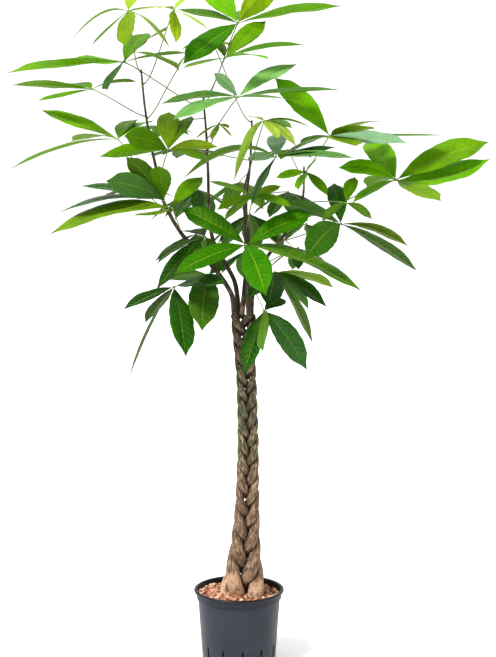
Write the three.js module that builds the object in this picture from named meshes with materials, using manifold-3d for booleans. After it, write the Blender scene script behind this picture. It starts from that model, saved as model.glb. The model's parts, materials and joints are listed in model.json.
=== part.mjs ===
// A potted money tree: five stems, fat at their feet, braided into one trunk, each going on as a
// leafy shoot, in a plastic culture pot filled with baked clay granules.
// Millimetres, +Z up. The origin is the middle of the pot's underside, and the front is -Y.

import * as THREE from 'three';
import { mergeVertices } from 'three/addons/utils/BufferGeometryUtils.js';
import Module from 'manifold-3d';

const wasm = await Module();
wasm.setup();

// ---------------------------------------------------------------- driving dimensions

const GAP = 0.35;                     // clear space between pieces that touch

const POT_HEIGHT = 190;
const FOOT_RADIUS = 88;               // outside, at the pot's underside
const SHOULDER_RADIUS = 99.8;         // outside, where the band begins
const SHOULDER_HEIGHT = 167;
const BAND_RADIUS = 103.5;
const RIM_RADIUS = 109.5;
const RIM_DEPTH = 7;                  // height of the rolled rim
const WALL = 2.4;
const FLOOR = 4;
const POT_SIDES = 40;
const SHOULDER_STEP = 1;              // height over which the wall flares out to the band
const RIM_ROUND = 1.5;
const SLOT_WIDTH = 5;
const SLOT_DEPTH = 30;                // more than the wall, so that they go right through
const SLOT_FOOT = 9;                  // height of the slots' lower ends
const LONG_SLOT = 50;
const SHORT_SLOT = 17;
const SLOTS = 12;                     // of each length, in turn round the foot
const SLOT_START = 0.4;               // share of their spacing that they start round from the side

const BED_HEIGHT = 170;               // level of the granules between their domes
const GRANULE_RADIUS = 10.8;          // of the smallest
const GRANULE_VARIATION = 2.4;        // and how much more the largest have
const GRANULES = 56;
const GRANULE_SINK = 3;               // how far the lowest of them sit below that level
const BED_MARGIN = 4;                 // from the wall to the outermost granules' middles
const SEED = 7;
const MOSTLY = 0.8;                   // the share of a direction that makes it one along an axis

const FOOT_Z = 175;                   // where the stems leave the granules
const SOCKET_Z = 128;                 // bottom of the stems
const SOCKET_TOP = 260;               // the holes for them are cut up to here, clear of the heap
const BRAID_TOP = 862;
const BRAID_START = 50;               // where the first strand's foot is in its turn, in degrees
const TURN_RATE = 42;                 // degrees it turns in a height like the braid's half width
const BRAID_STEP = 0.5;               // height between rings, as a share of the half width
const NECK = 24;                      // half width of the braid, up the trunk
const FLARE = 35;                     // and what its foot adds
const FLARE_HEIGHT = 130;
const TOP_SPREAD = 6;                 // how far the strands part by the top
const STRAND_SHARE = 0.32;            // a strand's radius as a share of the half width
const FOOT_SLIMMING = 0.03;           // less of it at the foot, where the strands stand apart
const DEPTH_SHARE = 0.8;              // its swing to the front and back, against the sides
const PRESS_GAP = 0.45;               // half the clear space between strands that press together
const STRAND_SIDES = 6;
const TRUNK_LEAN = 9;                 // the trunk's middle line, right of the pot's at its foot
const TRUNK_BOW = 13;                 // and how much further right it bows, over this height
const BOW_HEIGHT = 700;
const PARTING_Z = 700;                // where the strands begin to part

const STALK_RADIUS = 2;
const STALK_SIDES = 3;
const STALK_STEPS = 5;
const STALK_LEAVING = 0.12;           // share of its length in which it leaves the shoot squarely
const STALK_ARRIVING = 0.7;           // and where it begins to turn to the hub
const STALK_ARCH = 0.04;              // how far it arches up, as a share of its length
const HUB_RADIUS = 4;                 // the stalk's swollen end, which the leaflets grow from
const BLADE_RISE = 0.8;               // the blade's ridge above and keel below its middle
const BLADE_KEEL = 1.1;
const BLADE_RATIO = 0.33;             // a leaflet's width as a share of its length
const BLADE_FOLD = 0.14;              // how far the blade's edges stand up from its rib
const BLADE_ARCH = 0.12;              // how far a leaflet usually arches up, as a share of its length
const BLADE_BEND = 0.45;              // the place along it where it bends most
const FAN = 125;                      // degrees to either side that a leaf's leaflets spread
const SIDE_SHORTER = 0.32;            // how much shorter the outermost are than the middle one
// places along a leaflet, with the half width there as a share of the widest
const BLADE_OUTLINE = [[0.26, 0.6], [0.56, 1], [0.82, 0.7]];

// ---------------------------------------------------------------- places seen in the photograph

// The photograph's eye, in front of the plant. A place on the plant is given by its position in
// the picture (pixels right and down) and its depth (mm behind the pot's middle).
const EYE = new THREE.Vector3(22, -3300, 1197);
const EYE_TILT = THREE.MathUtils.degToRad(-6.4);
const FOCAL = 1390;
const PICTURE_MIDDLE = new THREE.Vector2(248, 328.5);
const LOOK = new THREE.Vector3(0, Math.cos(EYE_TILT), Math.sin(EYE_TILT));
const LOOK_UP = new THREE.Vector3(0, -Math.sin(EYE_TILT), Math.cos(EYE_TILT));
const UP = new THREE.Vector3(0, 0, 1);

function spot(right, down, depth) {
  const ray = LOOK.clone();
  ray.x += (right - PICTURE_MIDDLE.x) / FOCAL;
  ray.addScaledVector(LOOK_UP, (PICTURE_MIDDLE.y - down) / FOCAL);
  return EYE.clone().addScaledVector(ray, (depth - EYE.y) / ray.y);
}

// Shoots above the braid: [right, down, depth], from the braid to the tip.
const SHOOTS = {
  middle: [[237, 294, 18], [234, 280, 18], [225, 263, 20], [213, 240, 26], [209, 205, 34],
    [208, 170, 38], [206, 130, 42], [203, 96, 44]],
  crown: [[248, 294, -18], [247, 272, -24], [246, 249, -34], [245, 222, -38], [244, 192, -38],
    [250, 166, -36]],
  right: [[252, 298, 11], [255, 285, 14], [264, 262, 26], [283, 236, 40], [297, 214, 48],
    [303, 196, 50], [304, 166, 50]],
  back: [[244, 294, 6], [246, 272, 36], [248, 240, 84], [246, 205, 120], [250, 165, 146],
    [252, 120, 160]],
  left: [[232, 296, -9], [227, 286, -8], [218, 273, -6], [204, 257, -8], [184, 237, -16],
    [167, 209, -24], [160, 190, -28], [156, 168, -32], [151, 145, -36], [145, 108, -42],
    [141, 69, -48]],
};

const YOUNG = { color: 0x9cc21c, roughness: 0.5 };
const BRIGHT = { color: 0x5fa616, roughness: 0.45 };
const MID = { color: 0x4f8a1a, roughness: 0.42 };
const DARK = { color: 0x1f4d12, roughness: 0.36 };

// Leaves that the photograph shows. Each has its shoot and the height (pixels down) where its stalk
// leaves it, its hub [right, down, depth], the length of its longest leaflets in mm, and its
// leaflets' tips: [right, down, lean, shown width, arch], where lean runs from -1, towards the eye,
// to 1, away from it, and the shown width is in pixels. The arch is left out where it is usual.
const PHOTO_LEAVES = [
  ['crown_left', 'left', 72, [128, 11, -70], 150, YOUNG,
    [[73, 38, -0.3, 2, 0.34], [92, 45, 0.8, 2, 0.05], [125, 47, -1, 17], [140, -10, 0.8, 12],
      [163, 6, 0.8, 2, 0.02], [170, 48, -0.4, 3, 0.26]]],
  ['crown_small', 'left', 84, [174, 10, -30], 112, YOUNG,
    [[176, 43, -0.9, 11], [208, 29, -0.5, 2, 0.1], [192, -5, 0.9, 4], [159, 8, -0.8, 2]]],
  ['left_high', 'middle', 108, [124, 62, 30], 250, MID,
    [[7, 73, -0.2, 8, 0.06], [148, 33, 0.6, 16], [167, 30, 0.9, 2], [187, 53, 0.3, 3, 0.08],
      [76, 62, 0.8, 7, 0.03], [107, 90, -0.8, 7, 0.1]]],
  ['left_reaching', 'left', 116, [92, 89, -40], 190, DARK,
    [[12, 85, 0, 7, 0.05], [38, 101, -0.7, 4, 0.03], [137, 82, 0.3, 3, 0.16],
      [62, 86, 0.9, 4, 0.1]]],
  ['left_inner', 'left', 118, [178, 69, -10], 140, MID,
    [[135, 52, 0.3, 4, 0.18], [187, 54, 0.6, 2], [160, 57, -0.9, 3]]],
  ['crown_top', 'middle', 98, [238, 23, 60], 250, YOUNG,
    [[200, -20, 0.6, 25], [275, -12, -0.6, 25], [342, 6, 0.1, 8, 0.06], [178, 9, 0.5, 7, 0.03],
      [183, 64, -0.6, 20, 0.06], [262, 10, 0.9, 10]]],
  ['crown_right', 'middle', 104, [225, 58, -10], 190, MID,
    [[266, 21, 0.5, 17, 0.08], [305, 45, -0.2, 5, 0.12], [268, 59, -0.9, 2], [183, 68, -0.5, 3, 0.05],
      [212, 38, 0.6, 10]]],
  ['centre_high', 'middle', 138, [238, 97, -50], 230, MID,
    [[214, 73, -0.1, 11], [297, 64, 0.4, 13, 0.1], [340, 90, -0.2, 5, 0.06], [161, 104, -0.1, 7, 0.12],
      [172, 120, -0.6, 9, 0.1], [289, 99, -0.6, 3, 0.05]]],
  ['centre_young', 'crown', 172, [264, 121, -116], 118, YOUNG,
    [[234, 181, -0.3, 8, 0.34], [296, 146, -0.35, 8, 0.24], [249, 117, 0.6, 2], [292, 128, 0.6, 6],
      [310, 127, -0.3, 2, 0.2], [278, 139, -0.8, 9, 0.1]]],
  ['centre_bud', 'middle', 152, [219, 124, -60], 62, YOUNG,
    [[211, 140, -0.8, 6], [232, 137, 0.5, 2], [195, 139, -0.3, 2], [229, 128, 0.7, 3]]],
  ['right_high', 'right', 172, [330, 136, -10], 240, MID,
    [[275, 78, 0.3, 22, 0.1], [301, 146, 0.5, 6, 0.12], [285, 155, -0.3, 3], [381, 121, 0.45, 4, 0.12],
      [443, 135, -0.1, 1.5, 0.01], [356, 146, -0.9, 10, 0.02], [407, 143, -0.5, 12, 0.06],
      [374, 127, -0.8, 8, 0.03]]],
  ['centre_grey', 'crown', 196, [276, 157, -60], 180, DARK,
    [[279, 133, 0.8, 20], [184, 178, 0, 6, 0.38], [247, 160, 0.3, 9, 0.12], [252, 205, -0.7, 7],
      [336, 147, 0.1, 6, 0.03], [354, 158, -0.5, 7, 0.08]]],
  ['right_far', 'right', 218, [396, 180, 10], 230, MID,
    [[366, 140, 0.8, 24], [338, 168, 0.1, 15, 0.18], [367, 187, 0.8, 8], [352, 203, -0.2, 8],
      [489, 142, 0.2, 24, 0.08], [490, 159, -0.2, 18, -0.15], [441, 201, -0.8, 13, 0.02]]],
  ['left_broad', 'left', 178, [168, 150, -90], 185, MID,
    [[169, 112, 0.8, 24], [124, 136, -0.7, 21], [192, 116, 0.7, 14], [218, 147, -0.1, 10],
      [205, 161, -0.7, 7], [99, 157, -0.3, 12, 0.08]]],
  ['left_far', 'left', 192, [118, 139, -20], 230, MID,
    [[41, 110, 0.3, 11, 0.03], [10, 169, -0.1, 3, 0.14], [72, 141, 0.7, 3], [134, 120, 0.6, 13],
      [152, 122, 0.8, 8]]],
  ['left_dark', 'left', 222, [164, 200, -80], 190, DARK,
    [[106, 181, -0.8, 25], [126, 157, -0.5, 19], [81, 186, 0.3, 9, 0.08], [60, 212, -0.1, 5, 0.16],
      [159, 166, -0.7, 20]]],
  ['left_olive', 'left', 230, [172, 208, -110], 280, MID,
    [[50, 234, -0.1, 14, 0.16], [134, 215, -0.3, 4, -0.08], [203, 177, 0.3, 15]]],
  ['right_dark', 'right', 240, [341, 224, -52], 200, DARK,
    [[408, 246, 0.3, 8, 0.16], [418, 272, -0.4, 10, 0.09], [306, 259, -1, 29], [281, 203, -0.3, 12],
      [334, 183, 0.6, 19]]],
  ['front_bright', 'crown', 258, [246, 245, -120], 220, BRIGHT,
    [[174, 274, -0.5, 19, 0.12], [266, 296, -0.9, 30], [363, 292, -0.3, 13, 0.13],
      [181, 209, 0.3, 20], [313, 213, 0.3, 20]]],
  ['low_left', 'left', 276, [174, 287, -60], 240, DARK,
    [[123, 310, -0.4, 10, 0.1], [145, 323, 0.4, 10, 0.08], [128, 380, 0.1, 3, 0.18],
      [186, 357, -0.7, 23], [226, 284, -0.6, 12]]],
  ['low_left_broad', 'left', 280, [209, 275, 30], 230, MID,
    [[202, 331, -1, 32], [168, 280, 0.5, 12], [226, 262, 0.3, 12]]],
  ['low_over_trunk', 'right', 292, [264, 311, -60], 190, DARK,
    [[244, 374, -0.5, 19], [263, 352, -0.9, 11], [307, 370, -0.3, 23], [286, 300, 0.5, 12]]],
  ['low_right', 'right', 286, [275, 272, -10], 215, DARK,
    [[268, 307, -0.8, 25], [327, 307, -0.2, 14], [309, 310, -0.6, 8], [313, 344, 0.2, 9],
      [334, 288, 0.5, 8], [248, 299, -0.5, 14]]],
  ['right_inner', 'right', 190, [306, 172, -20], 112, YOUNG,
    [[328, 196, -0.5, 9], [298, 190, -0.8, 8], [276, 178, 0.2, 8], [318, 158, -0.5, 2]]],
  ['right_hanging', 'right', 202, [346, 203, -130], 130, MID,
    [[355, 177, 0.6, 13], [372, 219, -0.2, 8, 0.18], [322, 222, -0.3, 8, 0.2]]],
  ['foot_left', 'left', 262, [205, 237, -80], 180, DARK,
    [[156, 290, -0.3, 14], [155, 261, 0.3, 6], [222, 262, 0.3, 11], [186, 232, 0.8, 8]]],
  ['centre_narrow', 'crown', 228, [253, 196, -90], 130, MID,
    [[209, 181, 0.3, 5, 0.06], [281, 186, 0.3, 8, 0.06], [217, 210, 0.2, 8, 0.12],
      [224, 221, -0.6, 7], [292, 207, -0.3, 8, 0.12]]],
];

// Leaves on the far side: shoot and height of the stalk, hub [right, down, depth], heading of the
// middle leaflet (degrees round from +X), length, number of leaflets, droop in degrees.
const REAR_LEAVES = [
  ['rear_crown', 'back', 122, [212, 42, 210], 95, 100, 5, 10, YOUNG],
  ['rear_left_high', 'middle', 118, [160, 126, 230], 120, 125, 6, 12, MID],
  ['rear_left_back', 'back', 160, [186, 150, 290], 104, 130, 7, 9, DARK],
  ['rear_right_high', 'right', 180, [288, 150, 190], 100, 95, 5, 14, MID],
  ['rear_left_low', 'left', 214, [140, 190, 120], 130, 125, 6, 11, DARK],
  ['rear_middle', 'back', 172, [240, 182, 335], 84, 150, 6, 32, MID],
  ['rear_right_mid', 'back', 196, [288, 192, 240], 40, 160, 6, 32, DARK],
  ['rear_left_mid', 'back', 208, [198, 190, 215], 146, 155, 6, 32, DARK],
  ['rear_right_low', 'right', 232, [306, 224, 175], 70, 105, 5, 30, DARK],
  ['rear_low_middle', 'back', 236, [250, 214, 262], 85, 175, 7, 38, DARK],
  ['rear_low_left', 'left', 268, [196, 234, 185], 145, 145, 5, 32, DARK],
  ['rear_low_right', 'right', 262, [298, 248, 155], 34, 130, 5, 34, DARK],
  ['rear_lowest', 'back', 268, [244, 252, 215], 88, 130, 5, 38, DARK],
];

// ---------------------------------------------------------------- solids

function solidOf(geometry) {
  geometry.deleteAttribute('normal');
  geometry.deleteAttribute('uv');
  const merged = mergeVertices(geometry);
  return new wasm.Manifold(new wasm.Mesh({
    numProp: 3,
    vertProperties: Float32Array.from(merged.attributes.position.array),
    triVerts: Uint32Array.from(merged.index.array),
  }));
}

function meshOf(name, solid, look) {
  const { vertProperties, triVerts } = solid.getMesh();
  const geometry = new THREE.BufferGeometry();
  geometry.setAttribute('position', new THREE.BufferAttribute(vertProperties, 3));
  geometry.setIndex(new THREE.BufferAttribute(triVerts, 1));
  geometry.computeVertexNormals();
  const mesh = new THREE.Mesh(geometry, new THREE.MeshStandardMaterial({ metalness: 0, ...look }));
  mesh.name = name;
  return mesh;
}

function joined(solids) {
  return solids.reduce((whole, solid) => whole.add(solid));
}

// A closed body through rings of points, each counter-clockwise seen from the body's far end.
// It has flat ends or, where points are given for them, runs out to those.
function loft(rings, start = null, tip = null) {
  const count = rings[0].length;
  const last = (rings.length - 1) * count;
  const points = rings.flat();
  const startPoint = points.length;
  const tipPoint = startPoint + 1;
  if (tip) points.push(start, tip);
  const faces = [];
  for (let i = 0; i < count; i += 1) {
    const next = (i + 1) % count;
    for (let foot = 0; foot < last; foot += count) {
      const a = foot + i;
      const b = foot + next;
      faces.push(a, b, b + count, a, b + count, a + count);
    }
    if (tip) faces.push(i, startPoint, next, last + i, last + next, tipPoint);
  }
  for (let i = 1; !tip && i + 1 < count; i += 1) {
    faces.push(0, i + 1, i, last, last + i, last + i + 1);
  }
  const geometry = new THREE.BufferGeometry().setFromPoints(points);
  geometry.setIndex(faces);
  return solidOf(geometry);
}

// A ring of points round a rod. Its first point is to the back, or to the right where the rod
// itself runs mostly to the front or back.
function ringAt(centre, along, sides, radius) {
  const reference = Math.abs(along.y) < MOSTLY ? [0, 1, 0] : [1, 0, 0];
  const side = new THREE.Vector3(...reference).projectOnPlane(along).normalize();
  const other = along.clone().cross(side);
  const ring = [];
  for (let i = 0; i < sides; i += 1) {
    const angle = (2 * Math.PI * i) / sides;
    ring.push(centre.clone()
      .addScaledVector(side, radius * Math.cos(angle))
      .addScaledVector(other, radius * Math.sin(angle)));
  }
  return ring;
}

// The rings of a tapering rod along a curve, one at each of its steps.
function rodRings(curve, steps, sides, radiusAt) {
  const rings = [];
  for (let step = 0; step <= steps; step += 1) {
    const centre = curve.getPoint(step / steps);
    rings.push(ringAt(centre, curve.getTangent(step / steps), sides, radiusAt(centre)));
  }
  return rings;
}

// ---------------------------------------------------------------- pot and granules

function outerRadius(height) {
  return FOOT_RADIUS + ((SHOULDER_RADIUS - FOOT_RADIUS) * height) / SHOULDER_HEIGHT;
}

function turned(profile) {
  const points = profile.map(([radius, height]) => new THREE.Vector2(radius, height));
  const geometry = new THREE.LatheGeometry(points, POT_SIDES);
  return solidOf(geometry.rotateX(Math.PI / 2));
}

function potSolid() {
  const ledge = SHOULDER_HEIGHT - WALL;
  const rimFoot = POT_HEIGHT - RIM_DEPTH;
  let pot = turned([
    [0, 0], [FOOT_RADIUS, 0], [SHOULDER_RADIUS, SHOULDER_HEIGHT],
    [BAND_RADIUS, SHOULDER_HEIGHT + SHOULDER_STEP], [BAND_RADIUS, rimFoot], [RIM_RADIUS, rimFoot],
    [RIM_RADIUS, POT_HEIGHT - RIM_ROUND], [RIM_RADIUS - RIM_ROUND, POT_HEIGHT],
    [BAND_RADIUS - WALL, POT_HEIGHT], [BAND_RADIUS - WALL, ledge],
    [outerRadius(ledge) - WALL, ledge], [outerRadius(FLOOR) - WALL, FLOOR], [0, FLOOR],
  ]);
  for (let i = 0; i < 2 * SLOTS; i += 1) {
    const height = i % 2 === 0 ? LONG_SLOT : SHORT_SLOT;
    const slot = new THREE.BoxGeometry(SLOT_DEPTH, SLOT_WIDTH, height);
    slot.translate(FOOT_RADIUS, 0, SLOT_FOOT + height / 2);
    slot.rotateZ(((i + SLOT_START) * Math.PI) / SLOTS);
    pot = pot.subtract(solidOf(slot));
  }
  return pot;
}

// A seeded draw between 0 and 1.
function drawFrom(seed) {
  let state = seed;
  return () => {
    state = (state * 16807) % 2147483647;
    return state / 2147483647;
  };
}

function bedSolid(sockets) {
  const ledge = SHOULDER_HEIGHT - WALL + GAP;
  const within = (top) => turned([
    [0, FLOOR + GAP], [outerRadius(FLOOR + GAP) - WALL - GAP, FLOOR + GAP],
    [outerRadius(ledge) - WALL - GAP, ledge], [BAND_RADIUS - WALL - GAP, ledge],
    [BAND_RADIUS - WALL - GAP, top], [0, top],
  ]);
  const draw = drawFrom(SEED);
  const domes = [];
  for (let i = 0; i < GRANULES; i += 1) {
    const reach = (BAND_RADIUS - WALL - BED_MARGIN) * Math.sqrt((i + 0.5) / GRANULES);
    const round = i * Math.PI * (3 - Math.sqrt(5));
    const dome = new THREE.OctahedronGeometry(GRANULE_RADIUS + GRANULE_VARIATION * draw());
    dome.rotateX(draw() * Math.PI);
    dome.rotateY(draw() * Math.PI);
    dome.translate(reach * Math.cos(round), reach * Math.sin(round), BED_HEIGHT - GRANULE_SINK * draw());
    domes.push(solidOf(dome));
  }
  const heaped = joined([within(BED_HEIGHT), ...domes]).intersect(within(POT_HEIGHT));
  return sockets.reduce((bed, socket) => bed.subtract(socket), heaped);
}

// ---------------------------------------------------------------- stems

// How much of the foot's flare is left at a height, from 1 down to 0.
function flare(height) {
  return Math.exp((FOOT_Z - Math.max(height, FOOT_Z)) / FLARE_HEIGHT);
}

// Half the width of the whole braid.
function fatness(height) {
  return NECK + FLARE * flare(height);
}

// How far a strand has turned in the braid: the fatter the braid, the slower it turns.
function turnAt(startPhase, height) {
  const grown = (NECK / flare(height) + FLARE) / (NECK + FLARE);
  return THREE.MathUtils.degToRad(startPhase + TURN_RATE * Math.log(grown) * (FLARE_HEIGHT / NECK));
}

function strandRadius(height) {
  return (STRAND_SHARE - FOOT_SLIMMING * flare(height)) * fatness(height);
}

function strandPoint(startPhase, height) {
  const turn = turnAt(startPhase, height);
  const risen = Math.max(height - FOOT_Z, 0);
  const parting = TOP_SPREAD * THREE.MathUtils.smoothstep(height, PARTING_Z, BRAID_TOP);
  const swing = fatness(height) - strandRadius(height) + parting;
  const middle = TRUNK_LEAN + TRUNK_BOW * Math.sin((Math.PI * risen) / BOW_HEIGHT);
  return new THREE.Vector3(
    middle + swing * Math.sin(turn),
    -DEPTH_SHARE * swing * Math.sin(2 * turn),
    height,
  );
}

// The shoots' stems follow one another in the braid at equal parts of a turn.
const STEMS = Object.keys(SHOOTS);
const PHASES = STEMS.map((name, order) => BRAID_START + (360 * order) / STEMS.length);
const BARK = { color: 0x7a6249, roughness: 0.85 };
const SHOOT_TIP = 2.2;                // radius at the tip
const SHOOT_TAPER = 1.4;              // above 1 it thins sooner than evenly

function shootRadius(name, height) {
  const top = shootCurve(name).at(-1).z;
  const risen = THREE.MathUtils.clamp((height - BRAID_TOP) / (top - BRAID_TOP), 0, 1);
  return SHOOT_TIP + (strandRadius(BRAID_TOP) - SHOOT_TIP) * (1 - risen) ** SHOOT_TAPER;
}

function shootCurve(name) {
  return SHOOTS[name].map(([right, down, depth]) => spot(right, down, depth));
}

// A strand's level ring at a height, flattened where it presses on the other strands.
function strandRing(phase, height, swell = 0) {
  const centre = strandPoint(phase, height);
  const run = strandPoint(phase, height + 1).sub(centre);
  const stretch = run.length() - 1;
  const lean = new THREE.Vector3(run.x, run.y, 0).normalize();
  const others = PHASES.filter((other) => other !== phase);
  return ringAt(centre, UP, STRAND_SIDES, strandRadius(height) + swell).map((point) => {
    const offset = point.sub(centre);
    offset.addScaledVector(lean, offset.dot(lean) * stretch);
    for (const other of others) {
      const across = strandPoint(other, height).sub(centre);
      const room = across.length() / 2 - PRESS_GAP + swell;
      const reach = offset.dot(across.normalize());
      if (reach > room) offset.multiplyScalar(room / reach);
    }
    return offset.add(centre);
  });
}

function strandRings(phase, top, swell = 0) {
  const rings = [strandRing(phase, SOCKET_Z - swell, swell)];
  for (let height = FOOT_Z; height < top; height += BRAID_STEP * fatness(height)) {
    rings.push(strandRing(phase, height, swell));
  }
  return rings;
}

// The level part of a strand, grown by the given amount all round.
function strandSolid(phase, top, swell) {
  return loft(strandRings(phase, top, swell));
}

function stemSolid(name, order) {
  const phase = PHASES[order];
  const path = [strandPoint(phase, BRAID_TOP), ...shootCurve(name)];
  const rings = strandRings(phase, BRAID_TOP - BRAID_STEP * NECK);
  rings.push(...rodRings(new THREE.CatmullRomCurve3(path), path.length - 1, STRAND_SIDES,
    ({ z }) => shootRadius(name, z)));
  const earlier = PHASES.slice(0, order);
  return earlier.reduce(
    (stem, other) => stem.subtract(strandSolid(other, BRAID_TOP, PRESS_GAP)), loft(rings));
}

// The plain hole that a stem stands in.
function socketSolid(phase) {
  return strandSolid(phase, SOCKET_TOP, 2 * GAP);
}

// ---------------------------------------------------------------- leaves

// Where a shoot passes the given height in the picture, which way it runs and how thick it is there.
function shootAt(name, down) {
  const marks = SHOOTS[name];
  const above = Math.max(marks.findIndex((mark) => mark[1] <= down), 1);
  const share = (marks[above - 1][1] - down) / (marks[above - 1][1] - marks[above][1]);
  const lower = spot(...marks[above - 1]);
  const upper = spot(...marks[above]);
  const radius = THREE.MathUtils.lerp(
    shootRadius(name, lower.z), shootRadius(name, upper.z), share);
  return { centre: lower.clone().lerp(upper, share), run: upper.sub(lower), radius };
}

// How far from the middle of its shoot a stalk starts, so that it stands just clear of the shoot's
// flat sides.
function startReach(run, side, radius) {
  const middle = new THREE.Vector3();
  const ring = ringAt(middle, run.clone().normalize(), STRAND_SIDES, radius);
  const reaches = ring.map((corner, i) => {
    const face = corner.clone().lerp(ring[(i + 1) % STRAND_SIDES], 0.5);
    const squareness = Math.max(side.dot(face) / face.length(), 0);
    const lift = STALK_RADIUS * Math.sqrt(1 - Math.min(squareness, 1) ** 2);
    return (face.length() + GAP + lift) / squareness;
  });
  return Math.min(radius + GAP, ...reaches);
}

// A leaf's stalk, from the side of its shoot to the hub, where it swells to carry the leaflets.
function stalkSolid(shoot, down, hub) {
  const { centre, run, radius } = shootAt(shoot, down);
  const side = hub.clone().sub(centre).projectOnPlane(run).normalize();
  const start = centre.clone().addScaledVector(side, startReach(run, side, radius));
  const distance = hub.distanceTo(start);
  const leaving = start.clone().addScaledVector(side, distance * STALK_LEAVING);
  const arriving = start.clone().lerp(hub, STALK_ARRIVING);
  arriving.z += STALK_ARCH * distance;
  const end = hub.clone().addScaledVector(hub.clone().sub(arriving).normalize(), HUB_RADIUS);
  const curve = new THREE.CubicBezierCurve3(start, leaving, arriving, end);
  return loft(rodRings(curve, STALK_STEPS, STALK_SIDES,
    (centre) => (centre.distanceTo(end) < 1 ? HUB_RADIUS : STALK_RADIUS)));
}

// The blade's upper side: as far up as it can face, or turned until the eye sees the shown width.
function facing(hub, tip, shownWidth) {
  const along = tip.clone().sub(hub).normalize();
  if (shownWidth === null) return UP.clone().projectOnPlane(along).normalize();
  const view = hub.clone().add(tip).divideScalar(2).sub(EYE);
  const width = BLADE_RATIO * hub.distanceTo(tip);
  const shown = Math.min((shownWidth * view.length()) / FOCAL / width, 1);
  const edgeOn = view.normalize().cross(along).normalize();
  const faceOn = along.clone().cross(edgeOn);
  return new THREE.Vector3()
    .addScaledVector(faceOn, shown * Math.sign(faceOn.z))
    .addScaledVector(edgeOn, Math.sqrt(1 - shown * shown) * Math.sign(edgeOn.z));
}

function leafletSolid(hub, tip, shownWidth, arch = BLADE_ARCH) {
  const length = hub.distanceTo(tip);
  const halfWidth = (BLADE_RATIO * length) / 2;
  const up = facing(hub, tip, shownWidth);
  const bend = hub.clone().lerp(tip, BLADE_BEND);
  bend.z += arch * length;
  const curve = new THREE.QuadraticBezierCurve3(hub, bend, tip);
  const rings = BLADE_OUTLINE.map(([place, share]) => {
    const centre = curve.getPoint(place);
    const normal = up.clone().projectOnPlane(curve.getTangent(place)).normalize();
    const across = normal.clone().cross(curve.getTangent(place));
    const half = halfWidth * share;
    const lift = BLADE_FOLD * half;
    return [
      centre.clone().addScaledVector(across, -half).addScaledVector(normal, lift),
      centre.clone().addScaledVector(normal, -BLADE_KEEL),
      centre.clone().addScaledVector(across, half).addScaledVector(normal, lift),
      centre.clone().addScaledVector(normal, BLADE_RISE),
    ];
  });
  return loft(rings, hub, tip);
}

function photoLeaf([name, shoot, down, place, length, look, tips]) {
  const [right, top, depth] = place;
  const hub = spot(right, top, depth);
  const leaflets = tips.map(([tipRight, tipDown, lean, shownWidth, arch]) => {
    const flat = hub.distanceTo(spot(tipRight, tipDown, depth));
    const deeper = lean * Math.sqrt(Math.max(length * length - flat * flat, 0));
    return leafletSolid(hub, spot(tipRight, tipDown, depth + deeper), shownWidth, arch);
  });
  return meshOf(`leaf_${name}`, joined([stalkSolid(shoot, down, hub), ...leaflets]), look);
}

// A leaf of the far side: its leaflets spread round the hub, the middle one longest.
function rearLeaf([name, shoot, down, place, heading, length, count, droop, look]) {
  const hub = spot(...place);
  const fall = THREE.MathUtils.degToRad(droop);
  const leaflets = [];
  for (let i = 0; i < count; i += 1) {
    const swing = (i / (count - 1)) * 2 - 1;
    const round = THREE.MathUtils.degToRad(heading + swing * FAN);
    const reach = length * (1 - SIDE_SHORTER * Math.abs(swing));
    const tip = hub.clone().add(new THREE.Vector3(
      reach * Math.cos(fall) * Math.cos(round),
      reach * Math.cos(fall) * Math.sin(round),
      -reach * Math.sin(fall),
    ));
    leaflets.push(leafletSolid(hub, tip, null));
  }
  return meshOf(`leaf_${name}`, joined([stalkSolid(shoot, down, hub), ...leaflets]), look);
}

// ---------------------------------------------------------------- the whole plant

const plant = new THREE.Group();
plant.add(meshOf('pot', potSolid(), { color: 0x4a515c, roughness: 0.5 }));
plant.add(meshOf('clay_granules', bedSolid(PHASES.map(socketSolid)),
  { color: 0xb8714a, roughness: 0.95 }));
STEMS.forEach((name, order) => plant.add(meshOf(`stem_${name}`, stemSolid(name, order), BARK)));
PHOTO_LEAVES.forEach((leaf) => plant.add(photoLeaf(leaf)));
REAR_LEAVES.forEach((leaf) => plant.add(rearLeaf(leaf)));

export default plant;
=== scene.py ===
import json
import random
from math import atan2, cos, exp, hypot, log, pi, radians, sin, sqrt

import bmesh
import bpy
import numpy as np
from numpy.linalg import norm
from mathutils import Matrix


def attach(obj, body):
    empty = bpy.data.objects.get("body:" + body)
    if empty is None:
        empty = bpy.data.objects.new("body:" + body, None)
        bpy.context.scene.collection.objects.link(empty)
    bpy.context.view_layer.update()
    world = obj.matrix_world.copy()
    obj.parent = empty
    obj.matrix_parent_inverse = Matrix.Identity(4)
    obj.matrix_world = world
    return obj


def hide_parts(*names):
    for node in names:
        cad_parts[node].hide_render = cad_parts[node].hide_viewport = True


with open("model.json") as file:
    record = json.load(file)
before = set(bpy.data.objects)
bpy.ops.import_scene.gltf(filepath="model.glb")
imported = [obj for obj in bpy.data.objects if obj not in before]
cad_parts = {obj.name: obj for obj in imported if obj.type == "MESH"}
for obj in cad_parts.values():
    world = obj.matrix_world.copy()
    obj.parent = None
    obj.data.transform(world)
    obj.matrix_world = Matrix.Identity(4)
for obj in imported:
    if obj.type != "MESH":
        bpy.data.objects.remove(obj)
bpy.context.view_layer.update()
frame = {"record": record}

# A potted money tree in metres, +Z up, seen from the front (-Y): a plastic culture pot filled with
# baked clay granules, five braided stems, and palmate leaves on thin stalks.

# ---- driving dimensions

UP = np.array((0.0, 0.0, 1.0))

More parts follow.
